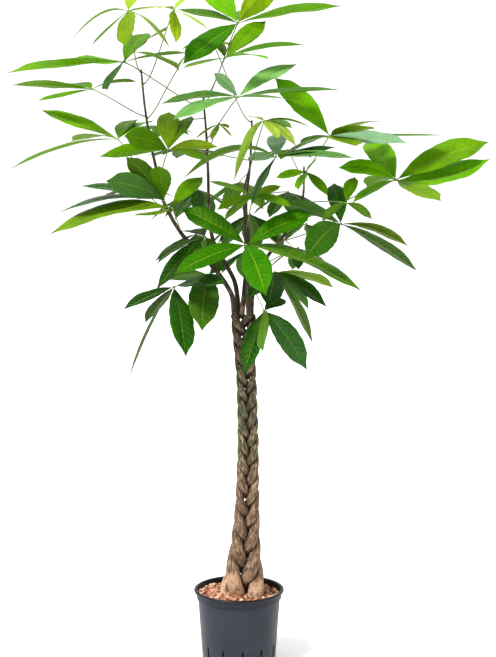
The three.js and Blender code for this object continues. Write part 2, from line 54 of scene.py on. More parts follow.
POT_HEIGHT = 0.19
FOOT_RADIUS = 0.088
SHOULDER_RADIUS = 0.0998
SHOULDER_HEIGHT = 0.167
BAND_RADIUS = 0.1035
BAND_START = 0.172
RIM_RADIUS = 0.1095
RIM_DEPTH = 0.007
WALL = 0.0024
FLOOR = 0.004
EDGE_ROUNDING = 0.003  # at the foot and inside the mouth
SHOULDER_ROUNDING = 0.0012
RIM_FILLET = 0.001
CHAMFER = 0.002
STRAIGHT_END = 0.0015  # below the next rounding
MIDDLE_DISC = 0.012
POT_SIDES = 144
# the least share of painted shade on the rim's roll
LIP_DARKNESS = 0.45
SLOT_WIDTH = 0.005
SLOT_FOOT = 0.009
SLOT_REACH = 0.015
LONG_SLOT = 0.05
SHORT_SLOT = 0.017
SLOTS = 12
SLOT_START = 0.4

BED_HEIGHT = 0.17
BED_GAP = 0.001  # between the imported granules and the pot
SIDE_GAP = 0.0012
BED_DISC = 0.002
PACKED_DEPTH = 0.004  # below the bed's height
PEBBLES = 1150
PEBBLE_RADIUS = (0.003, 0.0062)
PEBBLE_HEIGHT = (-0.001, 0.0045)  # above the bed's height
PEBBLE_STRETCH = (0.65, 1.15)
PEBBLE_DENTS = 0.0867
PEBBLE_WAVES = 4.8
PEBBLE_SHADES = (1.2, 1.45)  # the beta law that they are drawn from
PEBBLE_GAP = 0.0006  # from the pot's wall
PEBBLE_SINKING = 0.3  # share of its radius that may reach into a stem
MOUND = 0.004  # how much higher the bed lies against the stems
MOUND_REACH = 0.012
HEAPING = 0.008  # how much higher it lies on its fullest side
FULL_SIDE = (-0.75, -0.66, 0.0)

FOOT_Z = 0.175
SOCKET_Z = 0.15  # the stems' hidden lower ends, down in the granules
BRAID_TOP = 0.862
BRAID_START = 50
TURN_RATE = 42  # degrees that it turns while it rises by its own fatness
NECK = 0.024
FLARE = 0.035
FLARE_HEIGHT = 0.13
TOP_SPREAD = 0.006
STRAND_SHARE = 0.37
FOOT_SLIMMING = 0.02
HOLE_HEIGHTS = (0.69, 0.41)  # where the braid is loose enough to see through
HOLE_REACH = 0.02
HOLE_SLIMMING = 0.05
DEPTH_SHARE = 0.8
TRUNK_LEAN = 0.009
TRUNK_BOW = 0.013
BOW_HEIGHT = 0.7
PARTING_Z = 0.7
STRAND_SIDES = 24
RING_SPACING = 0.003
RUN_STEP = 0.001
SEAM = 0.0002  # half the gap between two strands that press on each other
# Painted shade: the bark darkens near the seams where strands press together and towards the
# braid's middle.
PRESSING = (0.72, 1.0)  # shares of the way to a seam over which painted shade darkens the bark
CREVICE = (0.66, 0.34)  # and shares of the braid's fatness, from its middle
CREVICE_DARKNESS = 0.8

# The unevenness of a stem's girth: share of its radius, waves round it, radians a metre up it, and
# how many times its phase shifts the waves.
KNUCKLES = [(0.035, 0, 61, 1), (0.022, 0, 143, 2), (0.028, 3, 14, 1), (0.012, 7, -30, 0)]

SHOOT_TIP = 0.0022
SHOOT_FOOT = 0.0064
SHOOT_TAPER = 1.4
SHOOT_SPACING = 0.004
SHOOT_END = (0.55, 0.85, 0.96)  # the last rings, as shares of the radius
JOINT_SWELLING = 0.09
JOINT_RATE = 0.55
JOINT_SHARPNESS = 8

STALK_RADIUS = 0.0012
STALK_BASE = 0.0024  # its swollen foot on the shoot
STALK_BASE_LENGTH = 0.012
STALK_START = 0.6  # where it starts, as a share of the shoot's radius
STALK_LEAVING = 0.12  # share of its length that leaves the shoot squarely
STALK_ARRIVING = 0.7  # share of its length from which it runs into the hub
STALK_ARCH = 0.04
STALK_STEPS = 22
STALK_SIDES = 8
HUB_RADIUS = 0.003
HUB_LENGTH = 0.004

BLADE_RATIO = 0.33
BLADE_ARCH = 0.12
BLADE_BEND = 0.45
BLADE_NECK = 0.03  # its half width at the hub, as a share of the widest
BLADE_PEAK = 0.57  # where along it a leaflet is widest
BLADE_START = 0.035  # the leaflet's own short stalk, as a share of its length
BLADE_SWELL = 1.05
BLADE_TAPER = 1.5
BLADE_TIP = (0.84, 0.97)  # where it is drawn out into its tip
TIP_NARROWING = 0.35
FULL_WIDTH = 11  # shown width in pixels from which a leaflet lies fully open
BLADE_THICKNESS = 0.0005
THINNING = 0.6  # how much thinner it gets to its margins, and its keel to the tip
KEEL = 0.0006  # the midrib's height below the blade
KEEL_REACH = 0.09
FOLD = (0.18, 0.3)  # how steeply the halves rise from the midrib
SHUT_FOLD = 0.15  # the share of it left in a leaflet that shows its edge
CUPPING = 0.55  # how much less they rise at the margins
CHANNEL = 0.03  # the midrib's depth in the upper side
CHANNEL_REACH = 0.12
RIPPLE = (0.03, 0.07)
RIPPLES = (2, 5)  # half waves along a margin
SCALLOP = 0.025
SCALLOP_RATE = 43
SWEEP = 0.018  # the sideways bow, as a share of the length
TWIST = 0.14
TWIST_START = 0.4
LIGHTNESS = (0.88, 1.12)  # how much lighter than its tint a leaflet is
WARMTH = (-0.08, 0.1)  # and how much redder
FAN = 125
SIDE_SHORTER = 0.32
BLADE_ROWS = 26
BLADE_COLUMNS = 10

KEY_STRENGTH = 2.8
KEY_SOFTNESS = 16
KEY_SIDE = (-0.55, -0.62, 1.0)  # where the sun stands

# ---- the photograph's eye

EYE = np.array((0.022, -3.3, 1.197))
EYE_TILT = radians(-6.4)
FOCAL = 1390  # in pixels of the photograph
PICTURE_WIDTH = 496
PICTURE_HEIGHT = 657
SENSOR_HEIGHT = 36
LOOK = np.array((0, cos(EYE_TILT), sin(EYE_TILT)))
LOOK_UP = np.array((0, -sin(EYE_TILT), cos(EYE_TILT)))


def spot(right, down, depth):
    """The place that shows at a pixel of the photograph, at a depth behind the pot's middle."""
    ray = LOOK + np.array(((right - PICTURE_WIDTH / 2) / FOCAL, 0, 0))
    ray = ray + LOOK_UP * (PICTURE_HEIGHT / 2 - down) / FOCAL
    return EYE + ray * (depth - EYE[1]) / ray[1]


def add_camera():
    data = bpy.data.cameras.new("camera")
    data.sensor_fit = "VERTICAL"
    data.sensor_height = SENSOR_HEIGHT
    data.lens = FOCAL * SENSOR_HEIGHT / PICTURE_HEIGHT
    camera = new_object("camera", data)
    camera.location = EYE
    camera.rotation_euler = (pi / 2 + EYE_TILT, 0, 0)
    bpy.context.scene.camera = camera


# ---- places seen in the photograph

# Shoots above the braid: (right, down, depth), from the braid to the tip.
SHOOTS = {
    "middle": [(237, 294, 0.018), (234, 280, 0.018), (225, 263, 0.02), (213, 240, 0.026),
               (209, 205, 0.034), (208, 170, 0.038), (206, 130, 0.042), (203, 96, 0.044)],
    "crown": [(248, 294, -0.018), (247, 272, -0.024), (246, 249, -0.034), (245, 222, -0.038),
              (244, 192, -0.038), (250, 166, -0.036)],
    "right": [(252, 298, 0.011), (255, 285, 0.014), (264, 262, 0.026), (283, 236, 0.04),
              (297, 214, 0.048), (303, 196, 0.05), (304, 166, 0.05)],
    "back": [(244, 294, 0.006), (246, 272, 0.036), (248, 240, 0.084), (246, 205, 0.12),
             (250, 165, 0.146), (252, 120, 0.16)],
    "left": [(232, 296, -0.009), (227, 286, -0.008), (218, 273, -0.006), (204, 257, -0.008),
             (184, 237, -0.016), (167, 209, -0.024), (160, 190, -0.028), (156, 168, -0.032),
             (151, 145, -0.036), (145, 108, -0.042), (141, 69, -0.048)],
}

# Leaves that the photograph shows: shoot, height where the stalk leaves it, hub, length of the
# longest leaflets, the leaflets' tints, and their tips as (right, down, lean, shown width in
# pixels) and, where it is unusual, how far the leaflet arches.
PHOTO_LEAVES = [
    ("crown_left", "left", 72, (128, 11, -0.07), 0.15, "bud young olive young young yellow",
     [(73, 38, -0.3, 2, 0.34), (92, 45, 0.8, 2, 0.05), (125, 47, -1, 17), (140, -10, 0.8, 12),
      (163, 6, 0.8, 2, 0.02), (170, 48, -0.4, 3, 0.26)]),
    ("crown_small", "left", 84, (174, 10, -0.03), 0.112, "young young young young",
     [(176, 43, -0.9, 11), (208, 29, -0.5, 2, 0.1), (192, -5, 0.9, 4), (159, 8, -0.8, 2)]),
    ("left_high", "middle", 108, (124, 62, 0.03), 0.25, "lime leaf spring spring lime deep",
     [(7, 73, -0.2, 8, 0.06), (148, 33, 0.6, 16), (167, 30, 0.9, 2), (187, 53, 0.3, 3, 0.08),
      (76, 62, 0.8, 7, 0.03), (107, 90, -0.8, 7, 0.1)]),
    ("left_reaching", "left", 116, (92, 89, -0.04), 0.19, "spring spring spring spring",
     [(12, 85, 0, 7, 0.05), (38, 101, -0.7, 4, 0.03), (137, 82, 0.3, 3, 0.16),
      (62, 86, 0.9, 4, 0.1)]),
    ("left_inner", "left", 118, (178, 69, -0.01), 0.14, "spring spring spring",
     [(135, 52, 0.3, 4, 0.18), (187, 54, 0.6, 2), (160, 57, -0.9, 3)]),
    ("crown_top", "middle", 98, (238, 23, 0.06), 0.25, "fresh young fresh leaf vivid lime",
     [(200, -20, 0.6, 25), (275, -12, -0.6, 25), (342, 6, 0.1, 8, 0.06), (178, 9, 0.5, 7, 0.03),
      (183, 64, -0.6, 20, 0.06), (262, 10, 0.9, 10)]),
    ("crown_right", "middle", 104, (225, 58, -0.01), 0.19, "spring fresh fresh spring spring",
     [(266, 21, 0.5, 17, 0.08), (305, 45, -0.2, 5, 0.12), (268, 59, -0.9, 2),
      (183, 68, -0.5, 3, 0.05), (212, 38, 0.6, 10)]),
    ("centre_high", "middle", 138, (238, 97, -0.05), 0.23, "slate sage sage sage sage sage",
     [(214, 73, -0.1, 11), (297, 64, 0.4, 13, 0.1), (340, 90, -0.2, 5, 0.06),
      (161, 104, -0.1, 7, 0.12), (172, 120, -0.6, 9, 0.1), (289, 99, -0.6, 3, 0.05)]),
    ("centre_young", "crown", 172, (264, 121, -0.116), 0.118, "bud bud yellow sage leaf bud",
     [(234, 181, -0.3, 8, 0.34), (296, 146, -0.35, 8, 0.24), (249, 117, 0.6, 2), (292, 128, 0.6, 6),
      (310, 127, -0.3, 2, 0.2), (278, 139, -0.8, 9, 0.1)]),
    ("centre_bud", "middle", 152, (219, 124, -0.06), 0.062, "bud young yellow young",
     [(211, 140, -0.8, 6), (232, 137, 0.5, 2), (195, 139, -0.3, 2), (229, 128, 0.7, 3)]),
    ("right_high", "right", 172, (330, 136, -0.01), 0.24,
     "fresh vivid leaf leaf fresh olive slate yellow",
     [(275, 78, 0.3, 22, 0.1), (301, 146, 0.5, 6, 0.12), (285, 155, -0.3, 3),
      (381, 121, 0.45, 4, 0.12), (443, 135, -0.1, 1.5, 0.01), (356, 146, -0.9, 10, 0.02),
      (407, 143, -0.5, 12, 0.06), (374, 127, -0.8, 8, 0.03)]),
    ("centre_grey", "crown", 196, (276, 157, -0.06), 0.18, "slate spring slate dark deep sage",
     [(279, 133, 0.8, 20), (184, 178, 0, 6, 0.38), (247, 160, 0.3, 9, 0.12), (252, 205, -0.7, 7),
      (336, 147, 0.1, 6, 0.03), (354, 158, -0.5, 7, 0.08)]),
    ("right_far", "right", 218, (396, 180, 0.01), 0.23, "fresh lime leaf fresh spring fresh olive",
     [(366, 140, 0.8, 24), (338, 168, 0.1, 15, 0.18), (367, 187, 0.8, 8), (352, 203, -0.2, 8),
      (489, 142, 0.2, 24, 0.08), (490, 159, -0.2, 18, -0.15), (441, 201, -0.8, 13, 0.02)]),
    ("left_broad", "left", 178, (168, 150, -0.09), 0.185, "olive leaf leaf yellow leaf lime",
     [(169, 112, 0.8, 24), (124, 136, -0.7, 21), (192, 116, 0.7, 14), (218, 147, -0.1, 10),
      (205, 161, -0.7, 7), (99, 157, -0.3, 12, 0.08)]),
    ("left_far", "left", 192, (118, 139, -0.02), 0.23, "lime spring spring leaf lime",
     [(41, 110, 0.3, 11, 0.03), (10, 169, -0.1, 3, 0.14), (72, 141, 0.7, 3), (134, 120, 0.6, 13),
      (152, 122, 0.8, 8)]),
    ("left_dark", "left", 222, (164, 200, -0.08), 0.19, "steel moss steel deep leaf",
     [(106, 181, -0.8, 25), (126, 157, -0.5, 19), (81, 186, 0.3, 9, 0.08), (60, 212, -0.1, 5, 0.16),
      (159, 166, -0.7, 20)]),
    ("left_olive", "left", 230, (172, 208, -0.11), 0.28, "olive olive spring",
     [(50, 234, -0.1, 14, 0.16), (134, 215, -0.3, 4, -0.08), (203, 177, 0.3, 15)]),
    ("right_dark", "right", 240, (341, 224, -0.052), 0.2, "olive dark lawn steel deep",
     [(408, 246, 0.3, 8, 0.16), (418, 272, -0.4, 10, 0.09), (306, 259, -1, 29),
      (281, 203, -0.3, 12), (334, 183, 0.6, 19)]),
    ("front_bright", "crown", 258, (246, 245, -0.12), 0.22, "vivid vivid leaf lawn vivid",
     [(174, 274, -0.5, 19, 0.12), (266, 296, -0.9, 30), (363, 292, -0.3, 13, 0.13),
      (181, 209, 0.3, 20), (313, 213, 0.3, 20)]),
    ("low_left", "left", 276, (174, 287, -0.06), 0.24, "dark dark dark deep deep",
     [(123, 310, -0.4, 10, 0.1), (145, 323, 0.4, 10, 0.08), (128, 380, 0.1, 3, 0.18),
      (186, 357, -0.7, 23), (226, 284, -0.6, 12)]),
    ("low_left_broad", "left", 280, (209, 275, 0.03), 0.23, "moss deep lawn",
     [(202, 331, -1, 32), (168, 280, 0.5, 12), (226, 262, 0.3, 12)]),
    ("low_over_trunk", "right", 292, (264, 311, -0.06), 0.19, "deep leaf steel lawn",
     [(244, 374, -0.5, 19), (263, 352, -0.9, 11), (307, 370, -0.3, 23), (286, 300, 0.5, 12)]),
    ("low_right", "right", 286, (275, 272, -0.01), 0.215, "dark deep lawn moss olive deep",
     [(268, 307, -0.8, 25), (327, 307, -0.2, 14), (309, 310, -0.6, 8), (313, 344, 0.2, 9),
      (334, 288, 0.5, 8), (248, 299, -0.5, 14)]),
    ("right_inner", "right", 190, (306, 172, -0.02), 0.112, "spring lime fresh fresh",
     [(328, 196, -0.5, 9), (298, 190, -0.8, 8), (276, 178, 0.2, 8), (318, 158, -0.5, 2)]),
    ("right_hanging", "right", 202, (346, 203, -0.13), 0.13, "leaf moss moss",
     [(355, 177, 0.6, 13), (372, 219, -0.2, 8, 0.18), (322, 222, -0.3, 8, 0.2)]),
    ("foot_left", "left", 262, (205, 237, -0.08), 0.18, "dark dark dark dark",
     [(156, 290, -0.3, 14), (155, 261, 0.3, 6), (222, 262, 0.3, 11), (186, 232, 0.8, 8)]),
    ("centre_narrow", "crown", 228, (253, 196, -0.09), 0.13, "leaf yellow leaf moss spring",
     [(209, 181, 0.3, 5, 0.06), (281, 186, 0.3, 8, 0.06), (217, 210, 0.2, 8, 0.12),
      (224, 221, -0.6, 7), (292, 207, -0.3, 8, 0.12)]),
]

# Leaves on the far side: shoot, height of the stalk, hub, heading, length, leaflets, droop, tint.
REAR_LEAVES = [
    ("crown", "back", 122, (212, 42, 0.21), 95, 0.1, 5, 10, "young"),
    ("left_high", "middle", 118, (160, 126, 0.23), 120, 0.125, 6, 12, "leaf"),
    ("left_back", "back", 160, (186, 150, 0.29), 104, 0.13, 7, 9, "deep"),
    ("right_high", "right", 180, (288, 150, 0.19), 100, 0.095, 5, 14, "leaf"),
    ("left_low", "left", 214, (140, 190, 0.12), 130, 0.125, 6, 11, "deep"),
    ("middle", "back", 172, (240, 182, 0.335), 84, 0.15, 6, 32, "leaf"),
    ("right_mid", "back", 196, (288, 192, 0.24), 40, 0.16, 6, 32, "deep"),
    ("left_mid", "back", 208, (198, 190, 0.215), 146, 0.155, 6, 32, "deep"),
    ("right_low", "right", 232, (306, 224, 0.175), 70, 0.105, 5, 30, "deep"),
    ("low_middle", "back", 236, (250, 214, 0.262), 85, 0.175, 7, 38, "deep"),
    ("low_left", "left", 268, (196, 234, 0.185), 145, 0.145, 5, 32, "deep"),
    ("low_right", "right", 262, (298, 248, 0.155), 34, 0.13, 5, 34, "deep"),
    ("lowest", "back", 268, (244, 252, 0.215), 88, 0.13, 5, 38, "deep"),
]

# Leaf colours. Besides the leaves' own greens, the dark and deep tints are partly painted shade for
# leaves that lie in shade, and the slate, sage and steel tints carry a painted bluish sheen.
TINTS = {
    "bud": (0.27, 0.38, 0.06), "young": (0.27, 0.39, 0.014),
    "yellow": (0.205, 0.285, 0.02), "lime": (0.175, 0.385, 0.004),
    "fresh": (0.115, 0.29, 0.003), "spring": (0.095, 0.2, 0.003),
    "leaf": (0.062, 0.148, 0.002), "vivid": (0.03, 0.128, 0.001),
    "lawn": (0.031, 0.108, 0.004), "sage": (0.148, 0.3, 0.09),
    "slate": (0.172, 0.305, 0.175), "olive": (0.125, 0.208, 0.006),
    "moss": (0.046, 0.1, 0.01), "steel": (0.038, 0.106, 0.033),
    "deep": (0.018, 0.068, 0.007), "dark": (0.01, 0.043, 0.004),
}

# ---- materials


class Paint:
    """A material on Blender's principled shader, with short calls for the nodes behind it."""

    def __init__(self, name, **sockets):
        self.material = bpy.data.materials.new(name)
        self.material.use_nodes = True
        self.nodes = self.material.node_tree.nodes
        self.links = self.material.node_tree.links
        self.shader = self.nodes["Principled BSDF"]
        for socket, value in sockets.items():
            self.shader.inputs[socket.replace("_", " ")].default_value = value

    def put(self, socket, value):
        if isinstance(value, bpy.types.NodeSocket):
            self.links.new(value, socket)
        else:
            socket.default_value = value

    def add(self, kind, inputs=(), **settings):
        node = self.nodes.new("ShaderNode" + kind)
        for setting, value in settings.items():
            setattr(node, setting, value)
        for socket, value in dict(inputs).items():
            self.put(node.inputs[socket], value)
        return node

    def math(self, operation, *values):
        return self.add("Math", enumerate(values), operation=operation).outputs[0]

    def times(self, first, second):
        return self.math("MULTIPLY", first, second)

    def scaled(self, value, factor, shift):
        """The value by a factor, and a shift or another value."""
        return self.math("MULTIPLY_ADD", value, factor, shift)

    def step(self, value, low, high, bottom=0, top=1):
        inputs = {0: value, 1: low, 2: high, 3: bottom, 4: top}
        return self.add("MapRange", inputs, interpolation_type="SMOOTHSTEP").outputs[0]

    def mix(self, share, first, second):
        node = self.add("Mix", data_type="RGBA")
        self.put(node.inputs[0], share)
        for socket, value in ((node.inputs[6], first), (node.inputs[7], second)):
            self.put(socket, (*value, 1) if isinstance(value, tuple) else value)
        return node.outputs[2]

    def stain(self, colour, *stains):
        """The colour below stains of (share, colour), each laid over those before it."""
        for share, stain in stains:
            colour = self.mix(share, colour, stain)
        return colour

    def ramp(self, share, stops):
        node = self.add("ValToRGB", {0: share})
        elements = node.color_ramp.elements
        while len(elements) < len(stops):
            elements.new(1)
        for element, (place, colour) in zip(elements, stops):
            element.position = place
            element.color = (*colour, 1)
        return node.outputs[0]

    def attribute(self, name, output="Fac"):
        return self.add("Attribute", attribute_name=name).outputs[output]

    def place(self, scale=(1, 1, 1), source=None):
        """The object's own coordinates in metres, or the source's, stretched by the scale."""
        place = source or self.add("TexCoord").outputs["Object"]
        return self.add("Mapping", {"Vector": place, "Scale": scale}).outputs[0]

    def noise(self, scale, detail, place=None, roughness=0.5):
        inputs = {"Vector": place or self.place(), "Scale": scale, "Detail": detail,
                  "Roughness": roughness}
        return self.add("TexNoise", inputs).outputs[0]

    def cells(self, scale, place=None):
        return self.add("TexVoronoi", {"Vector": place or self.place(), "Scale": scale}).outputs[0]

    def finish(self, colour, roughness, height=None, depth=0):
        self.put(self.shader.inputs["Base Color"], colour)
        self.put(self.shader.inputs["Roughness"], roughness)
        if height is not None:
            bump = self.add("Bump", {"Height": height, "Distance": depth})
            self.put(self.shader.inputs["Normal"], bump.outputs[0])
        return self.material


VEINS = 13  # pairs of side veins on a leaflet
SHEEN = (0.7, 1, 0.12, 1)  # the tint of a leaf's gloss
DEPTHS = (0.5, 1, 0.1)  # how far red, green and blue light spread in a leaf

# For each kind of leaf its lowest and highest roughness, how clearly its midrib shows, its coat.
LEAF_GLOSS = {
    "leaf_young": (0.42, 0.54, 0.3, 0), "leaf_bright": (0.38, 0.5, 0.34, 0.03),
    "leaf_mid": (0.4, 0.52, 0.3, 0.02), "leaf_dark": (0.34, 0.46, 0.26, 0.06),
}


def leaf_paint(name, low, high, rib, coat):
    """A leaf: pale midrib, arching side veins with the blade quilted between them, and a paler
    underside."""
    paint = Paint(name, Coat_Weight=coat, Coat_Roughness=0.3, Subsurface_Weight=0.12,
                  Subsurface_Scale=0.003, Subsurface_Radius=DEPTHS, Specular_IOR_Level=0.13,
                  Specular_Tint=SHEEN)
    uv = paint.add("SeparateXYZ", {0: paint.add("UVMap", uv_map="leaf").outputs[0]})
    side = paint.math("ABSOLUTE", paint.scaled(uv.outputs[0], 2, -1))
    swept = paint.scaled(side, -0.11, uv.outputs[1])
    wave = paint.math("PINGPONG", paint.times(swept, VEINS), 0.5)
    vein = paint.times(paint.step(wave, 0, 0.13, 1, 0), paint.step(side, 0.5, 1, 1, 0.1))
    midrib = paint.step(side, 0.02, 0.085, 1, 0)
    under = paint.attribute("under")
    cloud = paint.noise(24, 3)
    patches = paint.noise(95, 5)
    tone = paint.scaled(patches, 0.3, paint.scaled(cloud, 0.7, 0.51))
    hue = paint.scaled(cloud, -0.03, 0.517)
    tint = paint.attribute("tint", "Color")
    green = paint.add("HueSaturation", {"Hue": hue, "Value": tone, "Color": tint}).outputs[0]
    paler = paint.mix(0.35, green, (0.36, 0.54, 0.03))
    green = paint.stain(green, (paint.times(vein, 0.24), paler),
                        (paint.times(midrib, rib), (0.28, 0.44, 0.03)))
    green = paint.mix(under, green, paint.mix(0.15, green, (0.16, 0.28, 0.015)))
    quilt = paint.scaled(midrib, -0.8, paint.math("SQRT", wave))
    rough = paint.scaled(under, 0.18, paint.step(cloud, 0.3, 0.7, low, high))
    return paint.finish(green, rough, paint.scaled(patches, 0.35, quilt), 0.0011)


def stalk_paint():
    paint = Paint("leaf_stalk", Subsurface_Weight=0.08, Subsurface_Scale=0.002)
    stops = [(0, (0.085, 0.055, 0.022)), (0.35, (0.15, 0.16, 0.035)),
             (0.85, (0.16, 0.26, 0.03)), (1, (0.2, 0.34, 0.05))]
    streaks = paint.noise(60, 3, paint.place((1, 1, 0.3)))
    colour = paint.stain(paint.ramp(paint.attribute("along"), stops),
                         (paint.step(streaks, 0.35, 0.7, 0, 0.5), (0.1, 0.075, 0.03)))
    return paint.finish(colour, paint.step(streaks, 0.3, 0.7, 0.42, 0.6), streaks, 0.0004)


# The bark's colour by height: cream and tan at the foot, pinkish brown, then greener and darker.
BARK_STOPS = [(0.17, (0.57, 0.375, 0.255)), (0.21, (0.47, 0.29, 0.185)),
              (0.25, (0.175, 0.105, 0.062)), (0.34, (0.135, 0.078, 0.044)),
              (0.45, (0.12, 0.072, 0.038)), (0.52, (0.064, 0.058, 0.026)),
              (0.62, (0.05, 0.06, 0.023)), (0.8, (0.05, 0.045, 0.023)),
              (0.95, (0.025, 0.021, 0.01)), (1.15, (0.02, 0.025, 0.008)),
              (1.5, (0.045, 0.085, 0.016))]
BARK_TOP = 1.6


def bark_paint():
    """Bark with streaks and flecks along the grain, level lenticels, pits, a mossy belt on the left
    side of the braid, and painted shade in the crevices between the strands."""
    paint = Paint("bark")
    across, _, height = paint.add("SeparateXYZ", {0: paint.place()}).outputs
    height = paint.math("ADD", height, paint.scaled(paint.noise(13, 3), 0.15, -0.075))
    stops = [(z / BARK_TOP, colour) for z, colour in BARK_STOPS]
    colour = paint.ramp(paint.math("DIVIDE", height, BARK_TOP), stops)
    grain = paint.attribute("grain", "Vector")
    streaks = paint.noise(150, 5, paint.place((1, 1, 0.12), grain), 0.6)
    flecks = paint.noise(240, 4, paint.place((1, 1, 0.3), grain), 0.65)
    blotches = paint.noise(52, 4)
    lenticels = paint.step(paint.cells(150, paint.place((1, 1, 2.6))), 0.12, 0.3, 1, 0)
    pits = paint.step(paint.cells(75, paint.place((1, 1, 0.5), grain)), 0.12, 0.26, 1, 0)
    aged = paint.step(height, 0.21, 0.27, 0.35, 1)
    trunk = paint.step(height, 0.82, 0.93, 1, 0.12)
    belt = paint.times(paint.step(height, 0.46, 0.52), paint.step(height, 0.62, 0.76, 1, 0))
    left = paint.step(paint.scaled(blotches, 0.03, across), 0.018, 0.036, 1, 0)
    colour = paint.stain(
        colour,
        (paint.times(paint.step(streaks, 0.4, 0.75, 0, 0.55), aged), (0.075, 0.045, 0.022)),
        (paint.step(blotches, 0.5, 0.7, 0, 0.45), (0.28, 0.19, 0.115)),
        (paint.step(blotches, 0.48, 0.36, 0, 0.6), (0.07, 0.043, 0.026)),
        (paint.times(paint.times(belt, left), 0.65), (0.05, 0.078, 0.03)),
        (paint.times(paint.step(flecks, 0.52, 0.62, 0, 0.65), trunk), (0.42, 0.29, 0.185)),
        (paint.times(paint.step(flecks, 0.48, 0.36, 0, 0.7), aged), (0.045, 0.028, 0.018)),
        (paint.times(lenticels, 0.5), (0.055, 0.035, 0.02)),
        (paint.times(pits, 0.65), (0.045, 0.026, 0.015)),
        # painted shade in the crevices between the strands
        (paint.times(paint.attribute("groove"), 0.8), (0.03, 0.02, 0.012)))
    relief = paint.scaled(lenticels, -0.5, streaks)
    relief = paint.scaled(blotches, 0.8, paint.scaled(pits, -0.6, relief))
    return paint.finish(colour, paint.step(streaks, 0.3, 0.7, 0.62, 0.9), relief, 0.0022)


def clay_paint():
    paint = Paint("baked_clay")
    stops = [(0, (0.045, 0.014, 0.009)), (0.18, (0.18, 0.055, 0.024)),
             (0.45, (0.42, 0.165, 0.082)), (0.65, (0.56, 0.3, 0.18)),
             (0.82, (0.72, 0.51, 0.38)), (1, (0.82, 0.7, 0.58))]
    grain = paint.noise(520, 4, None, 0.65)
    dust = paint.noise(170, 3)
    colour = paint.stain(paint.ramp(paint.attribute("shade"), stops),
                         (paint.step(grain, 0.45, 0.7, 0, 0.4), (0.16, 0.07, 0.04)),
                         (paint.step(dust, 0.5, 0.75, 0, 0.35), (0.62, 0.4, 0.27)))
    return paint.finish(colour, paint.step(grain, 0.3, 0.7, 0.78, 0.98), grain, 0.0012)


# Painted shade: the granules packed below the loose ones are coloured near black for the shade
# inside the pot, which shows through the slots.
def shaded_fill_paint():
    paint = Paint("shaded_packed_granules")
    lumps = paint.cells(130)
    grain = paint.noise(340, 4)
    colour = paint.stain((0.05, 0.028, 0.02),
                         (paint.step(lumps, 0.2, 0.75), (0.014, 0.009, 0.007)),
                         (paint.step(grain, 0.4, 0.7, 0, 0.5), (0.03, 0.02, 0.014)))
    return paint.finish(colour, paint.step(grain, 0.3, 0.7, 0.8, 0.98), lumps, -0.004)


def pot_paint():
    """Moulded polypropylene: satin, a little cloudy, with fine turning marks and dusty edges, and
    painted shade at the step below the band, on the rim's roll and inside the pot.
    """
    paint = Paint("pot_plastic", Specular_IOR_Level=0.34)
    cloud = paint.noise(14, 4)
    grain = paint.noise(900, 3)
    marks = paint.noise(240, 2, paint.place((0.04, 0.04, 1)))
    scuffs = paint.noise(46, 5, paint.place((1, 1, 0.35)), 0.7)
    height = paint.add("SeparateXYZ", {0: paint.place()}).outputs[2]
    stops = [(0, (0.015, 0.0195, 0.029)), (0.5, (0.0185, 0.023, 0.0335)),
             (1, (0.023, 0.0275, 0.039))]
    low = paint.step(height, 0, 0.05, 1, 0)
    dust = paint.times(low, paint.step(scuffs, 0.35, 0.7))
    # Painted shade at the step below the band: strongest at the step, fading up the band.
    fading = paint.step(height, 0.17, 0.18, 0.7, 0.25)
    band = paint.times(paint.step(height, 0.164, 0.168), fading)
    colour = paint.stain(paint.ramp(paint.step(cloud, 0.3, 0.7), stops),
                         (paint.step(scuffs, 0.58, 0.78, 0, 0.35), (0.055, 0.062, 0.075)),
                         (paint.times(dust, 0.4), (0.085, 0.075, 0.065)),
                         (band, (0.009, 0.009, 0.017)),
                         # painted shade: the inside of the pot near black, and the rim's roll
                         # darker towards its top
                         (paint.attribute("dark"), (0.007, 0.0055, 0.006)))
    rough = paint.math("ADD", paint.step(cloud, 0.3, 0.7, 0.36, 0.47),
                       paint.step(scuffs, 0.5, 0.8, 0, 0.18))
    return paint.finish(colour, rough, paint.scaled(grain, 0.35, marks), 0.00035)


def floor_paint():
    paint = Paint("pale_floor")
    cloud = paint.noise(1.2, 2)
    colour = paint.ramp(cloud, [(0.3, (0.93, 0.93, 0.93)), (0.7, (0.96, 0.96, 0.96))])
    return paint.finish(colour, paint.step(cloud, 0.3, 0.7, 0.85, 0.95))


# ---- pieces

SLOT_OF = {row["node"]: row["material_slot"] for row in frame["record"]["subparts"]}


def new_object(name, data):
    shown = bpy.data.objects.new(name, data)
    bpy.context.scene.collection.objects.link(shown)
    return shown


def new_mesh(name, points, faces):
    mesh = bpy.data.meshes.new(name)
    mesh.from_pydata([tuple(point) for point in points], [], faces)
    return mesh


def piece(name, points, faces, material, node, values=(), sharp=None):
    """A piece that stands for a CAD node. Values are title to one value for each point."""
    mesh = new_mesh(name, points, faces)
    mesh.polygons.foreach_set("use_smooth", [True] * len(mesh.polygons))
    if sharp is not None:
        mesh.set_sharp_from_angle(angle=radians(sharp))
    for title, value in dict(values).items():
        value = np.asarray(value, np.float32)
        if title == "leaf":
            corners = np.zeros(len(mesh.loops), np.int32)
            mesh.loops.foreach_get("vertex_index", corners)
            mesh.uv_layers.new(name="leaf").data.foreach_set("uv", value[corners].ravel())
        else:
            kind, field = ("FLOAT", "value") if value.ndim == 1 else ("FLOAT_COLOR", "color")
            layer = mesh.attributes.new(title, kind, "POINT")
            layer.data.foreach_set(field, value.ravel())
    mesh.materials.append(material)
    shown = new_object(name, mesh)
    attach(shown, "root")
    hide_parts(node)


